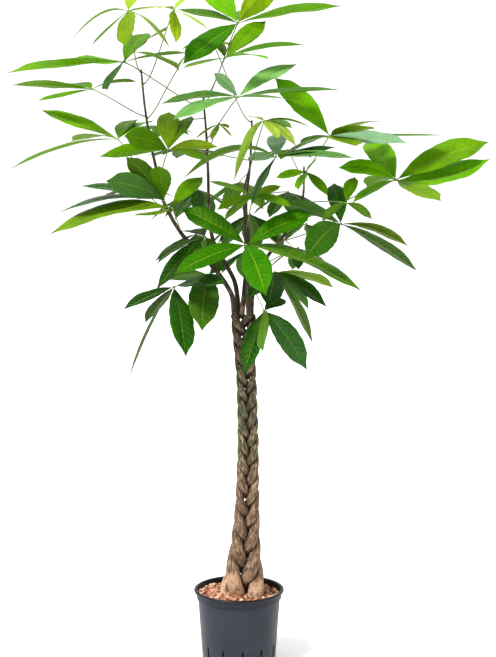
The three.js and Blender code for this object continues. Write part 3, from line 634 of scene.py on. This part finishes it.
class Heap:
    """Points, faces and point values of several bodies that become one piece."""

    def __init__(self):
        self.points = []
        self.faces = []
        self.values = {}

    def add(self, points, faces, **values):
        first = len(self.points)
        self.points.extend(points)
        self.faces.extend(tuple(first + i for i in face) for face in faces)
        for title, value in values.items():
            self.values.setdefault(title, []).extend(value)

    def piece(self, name, material, node):
        piece(name, self.points, self.faces, material, node, self.values)


def unit(vector):
    return vector / norm(vector)


def flat_on(vector, normal):
    """The vector without its part along a unit normal."""
    return vector - normal * np.dot(vector, normal)


def smoothstep(value, low, high):
    share = min(max((value - low) / (high - low), 0.0), 1.0)
    return share * share * (3 - 2 * share)


def ring(centre, along, radius, sides):
    reference = np.array((0, 1, 0) if abs(along[1]) < 0.8 else (1, 0, 0))
    side = unit(flat_on(reference, along))
    other = np.cross(along, side)
    turns = [2 * pi * i / sides for i in range(sides)]
    return [centre + radius * (side * cos(t) + other * sin(t)) for t in turns]


def tube_faces(rings, sides):
    faces = []
    for k in range(rings - 1):
        for i in range(sides):
            j = (i + 1) % sides
            faces.append((k * sides + i, k * sides + j, (k + 1) * sides + j, (k + 1) * sides + i))
    faces.append(tuple(reversed(range(sides))))
    faces.append(tuple((rings - 1) * sides + i for i in range(sides)))
    return faces


def through(marks, spacing):
    """A smooth line through the marks: its points, closer than the spacing, and directions."""
    marks = [2 * marks[0] - marks[1], *marks, 2 * marks[-1] - marks[-2]]
    knots = [0.0]
    for a, b in zip(marks, marks[1:]):
        knots.append(knots[-1] + sqrt(norm(b - a)))
    line = []
    for k in range(1, len(marks) - 2):
        p, t = marks[k - 1:k + 3], knots[k - 1:k + 3]
        count = max(int(norm(p[2] - p[1]) / spacing), 1)
        for i in range(count + (k == len(marks) - 3)):
            at = t[1] + (t[2] - t[1]) * i / count
            a = [p[n] + (p[n + 1] - p[n]) * (at - t[n]) / (t[n + 1] - t[n]) for n in range(3)]
            b = [a[n] + (a[n + 1] - a[n]) * (at - t[n]) / (t[n + 2] - t[n]) for n in range(2)]
            line.append(b[0] + (b[1] - b[0]) * (at - t[1]) / (t[2] - t[1]))
    ahead = line[1:] + [2 * line[-1] - line[-2]]
    behind = [2 * line[0] - line[1]] + line[:-1]
    return line, [unit(b - a) for a, b in zip(behind, ahead)]


# ---- pot and granules


def outer_radius(height):
    return FOOT_RADIUS + (SHOULDER_RADIUS - FOOT_RADIUS) * height / SHOULDER_HEIGHT


def middle_of_wall(height):
    """The radius halfway through the pot's wall, which parts its outside from its inside."""
    return (BAND_RADIUS if height > SHOULDER_HEIGHT else outer_radius(height)) - WALL / 2


def arc(radius, height, reach, start, end, steps):
    """Points of a rounding about (radius, height), between two angles in degrees."""
    turns = [radians(start + (end - start) * i / steps) for i in range(steps + 1)]
    return [(radius + reach * cos(t), height + reach * sin(t)) for t in turns]


def turned(profile, sides):
    """Points and faces of a profile of (radius, height) turned round the pot's axis."""
    points = []
    for radius, height in profile:
        for i in range(sides):
            turn = 2 * pi * i / sides
            points.append((radius * cos(turn), radius * sin(turn), height))
    return points, tube_faces(len(profile), sides)


def slot_cutter():
    heap = Heap()
    for i in range(2 * SLOTS):
        height = LONG_SLOT if i % 2 == 0 else SHORT_SLOT
        turn = (i + SLOT_START) * pi / SLOTS
        out = np.array((cos(turn), sin(turn), 0))
        side = np.cross(UP, out) * SLOT_WIDTH / 2
        corners = [(-side, 0), (side, 0), (side, height), (-side, height)]
        points = []
        for reach in (FOOT_RADIUS - SLOT_REACH, FOOT_RADIUS + SLOT_REACH):
            points += [out * reach + offset + UP * (SLOT_FOOT + z) for offset, z in corners]
        heap.add(points, tube_faces(2, 4))
    return new_object("slots", new_mesh("slots", heap.points, heap.faces))


def pot_profile(rim):
    """The pot's section as (radius, height), up its outside and down its inside."""
    roll = RIM_DEPTH / 2
    inner = BAND_RADIUS - WALL
    ledge = SHOULDER_HEIGHT - WALL
    edge, step, fillet = EDGE_ROUNDING, SHOULDER_ROUNDING, RIM_FILLET
    wall = np.linspace(FLOOR, SHOULDER_HEIGHT - STRAIGHT_END, 24)
    band = np.linspace(BAND_START, rim - STRAIGHT_END, 4)
    return [(MIDDLE_DISC, 0), *arc(FOOT_RADIUS - edge, edge, edge, -90, 0, 6),
            *((outer_radius(z), z) for z in wall),
            *arc(SHOULDER_RADIUS + step, SHOULDER_HEIGHT, step, 180, 90, 4),
            *arc(BAND_RADIUS - step, SHOULDER_HEIGHT + 2 * step, step, -90, 0, 4),
            *((BAND_RADIUS, z) for z in band),
            *arc(BAND_RADIUS + fillet, rim - fillet, fillet, 180, 90, 3),
            *arc(RIM_RADIUS - roll, rim + roll, roll, -90, 90, 10),
            *arc(inner + edge, POT_HEIGHT - edge, edge, 90, 180, 5),
            (inner, ledge + CHAMFER), (inner - CHAMFER, ledge),
            (outer_radius(ledge) - WALL, ledge), (outer_radius(FLOOR) - WALL, FLOOR),
            (MIDDLE_DISC, FLOOR)]


def add_pot(material):
    rim = POT_HEIGHT - RIM_DEPTH
    points, faces = turned(pot_profile(rim), POT_SIDES)
    whole = new_object("pot_turned", new_mesh("pot_turned", points, faces))
    cutter = slot_cutter()
    cut = whole.modifiers.new("slots", "BOOLEAN")
    cut.object = cutter
    cut.operation = "DIFFERENCE"
    cut.solver = "EXACT"
    bpy.context.view_layer.update()
    solid = whole.evaluated_get(bpy.context.evaluated_depsgraph_get()).to_mesh()
    points = [tuple(vertex.co) for vertex in solid.vertices]
    faces = [tuple(polygon.vertices) for polygon in solid.polygons]
    for scrap in (whole, cutter):
        bpy.data.objects.remove(scrap)
    # Painted shade: the inside of the pot is painted near black, and the rim's roll darkens towards
    # its top.
    dark = []
    for x, y, z in points:
        inside = z > FLOOR and hypot(x, y) < middle_of_wall(z)
        shaded = smoothstep(z, rim + RIM_DEPTH / 4, rim + RIM_DEPTH * 0.8)
        lip = LIP_DARKNESS + (1 - LIP_DARKNESS) * shaded
        dark.append(1.0 if inside else lip if z > rim - RIM_FILLET / 2 else 0.0)
    piece("pot_shell", points, faces, material, "pot", {"dark": dark}, sharp=40)


def packed_profile():
    """The section of the granules that fill the pot below the loose ones."""
    side = WALL + SIDE_GAP
    mouth = BAND_RADIUS - WALL - BED_GAP
    ledge = SHOULDER_HEIGHT - WALL
    low, top = FLOOR + BED_GAP, BED_HEIGHT - PACKED_DEPTH
    return [(BED_DISC, low), (outer_radius(FLOOR) - side, low), (outer_radius(ledge) - side, ledge),
            (mouth, ledge + BED_GAP), (mouth, top), (BED_DISC, top)]


def pebble_form():
    """A unit sphere of 42 points to be dented into pebbles."""
    scrap = bpy.data.meshes.new("sphere")
    form = bmesh.new()
    bmesh.ops.create_icosphere(form, subdivisions=2, radius=1)
    form.to_mesh(scrap)
    form.free()
    points = np.array([vertex.co for vertex in scrap.vertices])
    faces = [tuple(polygon.vertices) for polygon in scrap.polygons]
    bpy.data.meshes.remove(scrap)
    return points, faces


def square(law, *limits):
    """Three by three numbers drawn by a law."""
    return np.array([[law(*limits) for _ in range(3)] for _ in range(3)])


def pebble(sphere, size, draw):
    stretch = np.array([draw.uniform(*PEBBLE_STRETCH) for _ in range(3)])
    spin = np.linalg.qr(square(draw.gauss, 0, 1))[0]
    waves = square(draw.uniform, -PEBBLE_WAVES, PEBBLE_WAVES)
    dents = 1 + PEBBLE_DENTS * np.sin(sphere @ waves.T).sum(axis=1)
    return (sphere * dents[:, None] * stretch) @ spin.T * size


def add_bed(clay, shaded_fill, strands):
    draw = random.Random(5)
    wall = BAND_RADIUS - WALL
    points, faces = turned(packed_profile(), 64)
    piece("shaded_packed_granules", points, faces, shaded_fill, "clay_granules", sharp=30)
    sphere, sphere_faces = pebble_form()
    heap = Heap()
    while len(heap.points) < PEBBLES * len(sphere):
        reach = (wall - PEBBLE_RADIUS[0]) * sqrt(draw.random())
        turn = draw.uniform(0, 2 * pi)
        place = np.array((reach * cos(turn), reach * sin(turn), 0))
        near = min(hypot(place[0] - x, place[1] - y) - r for x, y, r in strands)
        size = draw.uniform(*PEBBLE_RADIUS)
        if near < -PEBBLE_SINKING * size:
            continue
        heaped = MOUND * exp(-max(near, 0) / MOUND_REACH)
        heaped += HEAPING * smoothstep(np.dot(place, FULL_SIDE), -wall / 2, wall)
        place[2] = BED_HEIGHT + draw.uniform(*PEBBLE_HEIGHT) + heaped
        body = pebble(sphere, size, draw) + place
        for point in body:
            room = wall if point[2] > SHOULDER_HEIGHT else outer_radius(point[2]) - WALL
            point[:2] *= min((room - PEBBLE_GAP) / hypot(point[0], point[1]), 1)
        shade = draw.betavariate(*PEBBLE_SHADES)
        heap.add(body, sphere_faces, shade=[shade] * len(body))
    heap.piece("loose_granules", clay, "clay_granules")


# ---- stems


def flare(height):
    return exp((FOOT_Z - max(height, FOOT_Z)) / FLARE_HEIGHT)


def fatness(height):
    return NECK + FLARE * flare(height)


def turn_at(phase, height):
    grown = (NECK / flare(height) + FLARE) / (NECK + FLARE)
    return radians(phase + TURN_RATE * log(grown) * FLARE_HEIGHT / NECK)


def strand_radius(height):
    loose = sum(exp(-((height - hole) / HOLE_REACH) ** 2) for hole in HOLE_HEIGHTS)
    share = STRAND_SHARE - FOOT_SLIMMING * flare(height) - HOLE_SLIMMING * loose
    return share * fatness(height)


def middle_at(height):
    """The trunk's own middle, which leans and bows a little."""
    risen = max(height - FOOT_Z, 0)
    return np.array((TRUNK_LEAN + TRUNK_BOW * sin(pi * risen / BOW_HEIGHT), 0, height))


def strand_point(phase, height):
    turn = turn_at(phase, height)
    parting = TOP_SPREAD * smoothstep(height, PARTING_Z, BRAID_TOP)
    swing = fatness(height) - strand_radius(height) + parting
    offset = (swing * sin(turn), -DEPTH_SHARE * swing * sin(2 * turn), 0)
    return middle_at(height) + offset


# The shoots' stems follow one another in the braid at equal parts of a turn.
PHASES = {name: BRAID_START + 360 * order / len(SHOOTS) for order, name in enumerate(SHOOTS)}


def knuckles(phase, height, turn):
    """A stem's girth round it and up it, as a share of its even radius."""
    return 1 + sum(share * sin(round_it * turn + up_it * height + shift * phase)
                   for share, round_it, up_it, shift in KNUCKLES)


def strand_ring(phase, height):
    """A strand's level ring, flattened where it presses on the others, and its painted shade."""
    centre = strand_point(phase, height)
    run = (strand_point(phase, height + RUN_STEP) - centre) / RUN_STEP
    stretch = norm(run) - 1
    level = np.array((run[0], run[1], 0))
    lean = level / max(norm(level), 1e-9)
    others = [strand_point(other, height) - centre for other in PHASES.values() if other != phase]
    points, grooves = [], []
    for i, point in enumerate(ring(centre, UP, strand_radius(height), STRAND_SIDES)):
        offset = (point - centre) * knuckles(phase, height, 2 * pi * i / STRAND_SIDES)
        offset = offset + lean * np.dot(offset, lean) * stretch
        pressed = 0.0
        for other in others:
            room = norm(other) / 2 - SEAM
            reach = np.dot(offset, unit(other))
            pressed = max(pressed, smoothstep(reach / room, *PRESSING))
            if reach > room:
                offset = offset * room / reach
        points.append(centre + offset)
        # painted shade: darker near a seam with another strand and in the crevices towards the
        # braid's middle
        outward = norm(points[-1] - middle_at(height)) / fatness(height)
        grooves.append(max(pressed, CREVICE_DARKNESS * smoothstep(outward, *CREVICE)))
    return points, grooves


def shoot_radius(name, height):
    top = spot(*SHOOTS[name][-1])[2]
    risen = min(max((height - BRAID_TOP) / (top - BRAID_TOP), 0), 1)
    return SHOOT_TIP + (SHOOT_FOOT - SHOOT_TIP) * (1 - risen) ** SHOOT_TAPER


def shoot_rings(name, marks):
    """Rings along a shoot, a little swollen where leaves stand or have stood."""
    line, runs = through(marks, SHOOT_SPACING)
    rings = []
    for k, (centre, along) in enumerate(zip(line, runs)):
        joint = JOINT_SWELLING * max(sin(k * JOINT_RATE + len(name)), 0) ** JOINT_SHARPNESS
        radius = shoot_radius(name, centre[2]) * (1 + joint)
        if k >= len(line) - len(SHOOT_END):
            radius *= SHOOT_END[len(line) - 1 - k]
        rings.append(ring(centre, along, radius, STRAND_SIDES))
    return rings


def grain_of(rings, shift):
    """For each point its place across the stem and its height, which the bark follows."""
    grain = []
    for points in rings:
        middle = np.mean(points, axis=0)
        grain += [(x - middle[0] + shift, y - middle[1], z, 1) for x, y, z in points]
    return grain


def add_stem(name, bark):
    phase = PHASES[name]
    heap = Heap()
    rings, grooves = [], []
    height = SOCKET_Z
    while height < BRAID_TOP - RING_SPACING:
        points, pressed = strand_ring(phase, height)
        rings.append(points)
        grooves += pressed
        height += RING_SPACING
    shoot = shoot_rings(name, [strand_point(phase, BRAID_TOP), *(spot(*m) for m in SHOOTS[name])])
    rings += shoot
    grooves += [0.0] * (len(shoot) * STRAND_SIDES)
    heap.add(sum(rings, []), tube_faces(len(rings), STRAND_SIDES), groove=grooves,
             grain=grain_of(rings, radians(phase)))
    heap.piece(f"stem_{name}_bark", bark, f"stem_{name}")


# ---- leaves


def shoot_at(name, down):
    """Where a shoot passes a height of the picture, which way it runs and how thick it is."""
    marks = SHOOTS[name]
    above = max(next((i for i, mark in enumerate(marks) if mark[1] <= down), len(marks) - 1), 1)
    share = (marks[above - 1][1] - down) / (marks[above - 1][1] - marks[above][1])
    lower, upper = spot(*marks[above - 1]), spot(*marks[above])
    centre = lower + (upper - lower) * share
    return centre, upper - lower, shoot_radius(name, centre[2])


def add_stalk(heap, shoot, down, hub):
    centre, run, radius = shoot_at(shoot, down)
    side = unit(flat_on(hub - centre, unit(run)))
    start = centre + side * radius * STALK_START
    distance = norm(hub - start)
    leaving = start + side * distance * STALK_LEAVING
    arriving = start + (hub - start) * STALK_ARRIVING + UP * STALK_ARCH * distance
    end = hub + unit(hub - arriving) * HUB_RADIUS / 2
    first, second, third = leaving - start, arriving - leaving, end - arriving
    rings, along = [], []
    for k in range(STALK_STEPS + 1):
        t = k / STALK_STEPS
        s = 1 - t
        place = s ** 3 * start + 3 * s * s * t * leaving + 3 * s * t * t * arriving + t ** 3 * end
        run = s * s * first + 2 * s * t * second + t * t * third
        base = (STALK_BASE - STALK_RADIUS) * max(1 - t * distance / STALK_BASE_LENGTH, 0)
        knob = (HUB_RADIUS - STALK_RADIUS) * exp(-(s * distance / HUB_LENGTH) ** 2)
        rings.append(ring(place, unit(run), STALK_RADIUS + base + knob, STALK_SIDES))
        along += [t] * STALK_SIDES
    heap.add(sum(rings, []), tube_faces(len(rings), STALK_SIDES), along=along)


def facing(hub, tip, shown_width):
    """The blade's upper side: as far up as it can face, or turned until the eye sees the width."""
    along = unit(tip - hub)
    if shown_width is None:
        return unit(flat_on(UP, along))
    view = (hub + tip) / 2 - EYE
    width = BLADE_RATIO * norm(tip - hub)
    shown = min(shown_width * norm(view) / FOCAL / width, 1)
    edge_on = unit(np.cross(unit(view), along))
    face_on = np.cross(along, edge_on)
    return (face_on * shown * np.sign(face_on[2])
            + edge_on * sqrt(1 - shown * shown) * np.sign(edge_on[2]))


def blade_half(place):
    """Half the width at a place along a leaflet, as a share of the widest."""
    if place < BLADE_START:
        return BLADE_NECK
    if place < BLADE_PEAK:
        rise = (place - BLADE_START) / (BLADE_PEAK - BLADE_START)
        return BLADE_NECK + (1 - BLADE_NECK) * sin(pi / 2 * rise) ** BLADE_SWELL
    fall = (place - BLADE_PEAK) / (1 - BLADE_PEAK)
    tip = 1 - TIP_NARROWING * smoothstep(place, *BLADE_TIP)
    return cos(pi / 2 * fall ** BLADE_TAPER) * tip


def blade_faces():
    """A leaflet's faces: its upper and lower side, and the margin between them."""
    count = BLADE_COLUMNS + 1
    below = count * (BLADE_ROWS + 1)
    faces = []
    for row in range(BLADE_ROWS):
        for column in range(BLADE_COLUMNS):
            a = row * count + column
            b = a + count
            faces.append((a, a + 1, b + 1, b))
            faces.append((below + a, below + b, below + b + 1, below + a + 1))
        left, right = row * count, row * count + BLADE_COLUMNS
        faces.append((left, left + count, below + left + count, below + left))
        faces.append((right, below + right, below + right + count, right + count))
    for column in range(BLADE_COLUMNS):
        far = BLADE_ROWS * count + column
        faces.append((column, below + column, below + column + 1, column + 1))
        faces.append((far, far + 1, below + far + 1, below + far))
    return faces


def add_leaflet(heap, hub, tip, shown_width, arch, tint, draw):
    length = norm(tip - hub)
    half_width = BLADE_RATIO * length / 2
    up = facing(hub, tip, shown_width)
    bend = hub + (tip - hub) * BLADE_BEND + UP * arch * length
    open_share = smoothstep(FULL_WIDTH if shown_width is None else shown_width, 0, FULL_WIDTH)
    fold = draw.uniform(*FOLD) * (SHUT_FOLD + (1 - SHUT_FOLD) * open_share)
    waves = [draw.uniform(*RIPPLES), draw.uniform(*RIPPLES)]
    phases = [draw.uniform(0, 2 * pi), draw.uniform(0, 2 * pi)]
    ripple = draw.uniform(*RIPPLE) * open_share
    sweep = draw.uniform(-SWEEP, SWEEP) * length
    twist = draw.uniform(-TWIST, TWIST) * open_share
    value = draw.uniform(*LIGHTNESS)
    warm = draw.uniform(*WARMTH)
    colour = (tint[0] * value * (1 + warm), tint[1] * value, tint[2] * value, 1)
    top, low, uv = [], [], []
    for row in range(BLADE_ROWS + 1):
        place = row / BLADE_ROWS
        rest = 1 - place
        centre = rest * rest * hub + 2 * rest * place * bend + place * place * tip
        along = unit(rest * (bend - hub) + place * (tip - bend))
        normal = unit(flat_on(up, along))
        across = np.cross(normal, along)
        turn = twist * (place - TWIST_START)
        across, normal = (across * cos(turn) + normal * sin(turn),
                          normal * cos(turn) - across * sin(turn))
        centre = centre + across * sweep * sin(pi * place)
        half = half_width * blade_half(place)
        for column in range(BLADE_COLUMNS + 1):
            side = 2 * column / BLADE_COLUMNS - 1
            wide = abs(side)
            margin = 0 if side < 0 else 1
            wave = ripple * sin(waves[margin] * pi * place + phases[margin]) * wide ** 3
            channel = CHANNEL * exp(-(wide / CHANNEL_REACH) ** 2)
            lift = fold * (wide - CUPPING * wide ** 3) + wave - channel
            edge = 1 + SCALLOP * sin(SCALLOP_RATE * place + phases[margin]) * wide ** 6
            point = centre + across * side * half * edge + normal * lift * half
            keel = KEEL * exp(-(side / KEEL_REACH) ** 2) * (1 - place * THINNING)
            thickness = BLADE_THICKNESS * (1 - THINNING * wide ** 4) + keel
            top.append(point)
            low.append(point - normal * thickness)
            uv.append((column / BLADE_COLUMNS, place))
    heap.add(top + low, blade_faces(), tint=[colour] * (2 * len(top)),
             under=[0.0] * len(top) + [1.0] * len(top), leaf=uv + uv)


def finish_leaf(name, blades, stalk, paints):
    node = f"leaf_{name}"
    blades.piece(f"{node}_blades", paints[SLOT_OF[node]], node)
    stalk.piece(f"{node}_stalk", paints["stalk"], node)


def add_photo_leaf(row, paints, draw):
    name, shoot, down, place, length, tints, tips = row
    hub, depth = spot(*place), place[2]
    blades, stalk = Heap(), Heap()
    for tint, (tip_right, tip_down, lean, shown_width, *arch) in zip(tints.split(), tips):
        flat = norm(spot(tip_right, tip_down, depth) - hub)
        deeper = lean * sqrt(max(length * length - flat * flat, 0))
        tip = spot(tip_right, tip_down, depth + deeper)
        add_leaflet(blades, hub, tip, shown_width, *(arch or [BLADE_ARCH]), TINTS[tint], draw)
    add_stalk(stalk, shoot, down, hub)
    finish_leaf(name, blades, stalk, paints)


def add_rear_leaf(row, paints, draw):
    name, shoot, down, place, heading, length, count, droop, tint = row
    hub = spot(*place)
    fall = radians(droop)
    blades, stalk = Heap(), Heap()
    for i in range(count):
        swing = i / (count - 1) * 2 - 1
        turn = radians(heading + swing * FAN)
        reach = length * (1 - SIDE_SHORTER * abs(swing))
        tip = hub + reach * np.array((cos(fall) * cos(turn),
                                      cos(fall) * sin(turn), -sin(fall)))
        add_leaflet(blades, hub, tip, None, BLADE_ARCH, TINTS[tint], draw)
    add_stalk(stalk, shoot, down, hub)
    finish_leaf(f"rear_{name}", blades, stalk, paints)


# ---- floor and light


def add_floor():
    reach = 14.0
    corners = [(-reach, -reach, 0), (reach, -reach, 0), (reach, reach, 0), (-reach, reach, 0)]
    mesh = new_mesh("floor", corners, [(0, 1, 2, 3)])
    mesh.materials.append(floor_paint())
    floor = new_object("floor", mesh)


def add_sun():
    data = bpy.data.lights.new("key", "SUN")
    data.energy = KEY_STRENGTH
    data.angle = radians(KEY_SOFTNESS)
    x, y, z = KEY_SIDE
    turn = (atan2(hypot(x, y), z), 0, atan2(x, -y))
    new_object("key", data).rotation_euler = turn


def add_studio():
    world = bpy.data.worlds.new("studio")
    world.use_nodes = True
    background = world.node_tree.nodes["Background"]
    background.inputs["Color"].default_value = (1.0, 1.0, 1.0, 1)
    background.inputs["Strength"].default_value = 1.0
    bpy.context.scene.world = world
    add_sun()
    settings = bpy.context.scene.view_settings
    settings.view_transform = "Standard"
    settings.look = "Medium High Contrast"


# ---- the whole scene


def build():
    add_camera()
    add_studio()
    add_floor()
    paints = {slot: leaf_paint(slot, *gloss) for slot, gloss in LEAF_GLOSS.items()}
    paints["stalk"] = stalk_paint()
    add_pot(pot_paint())
    strands = []
    for phase in PHASES.values():
        x, y, _ = strand_point(phase, FOOT_Z)
        strands.append((x, y, strand_radius(FOOT_Z)))
    add_bed(clay_paint(), shaded_fill_paint(), strands)
    bark = bark_paint()
    for name in SHOOTS:
        add_stem(name, bark)
    draw = random.Random(23)
    for row in PHOTO_LEAVES:
        add_photo_leaf(row, paints, draw)
    for row in REAR_LEAVES:
        add_rear_leaf(row, paints, draw)


build()
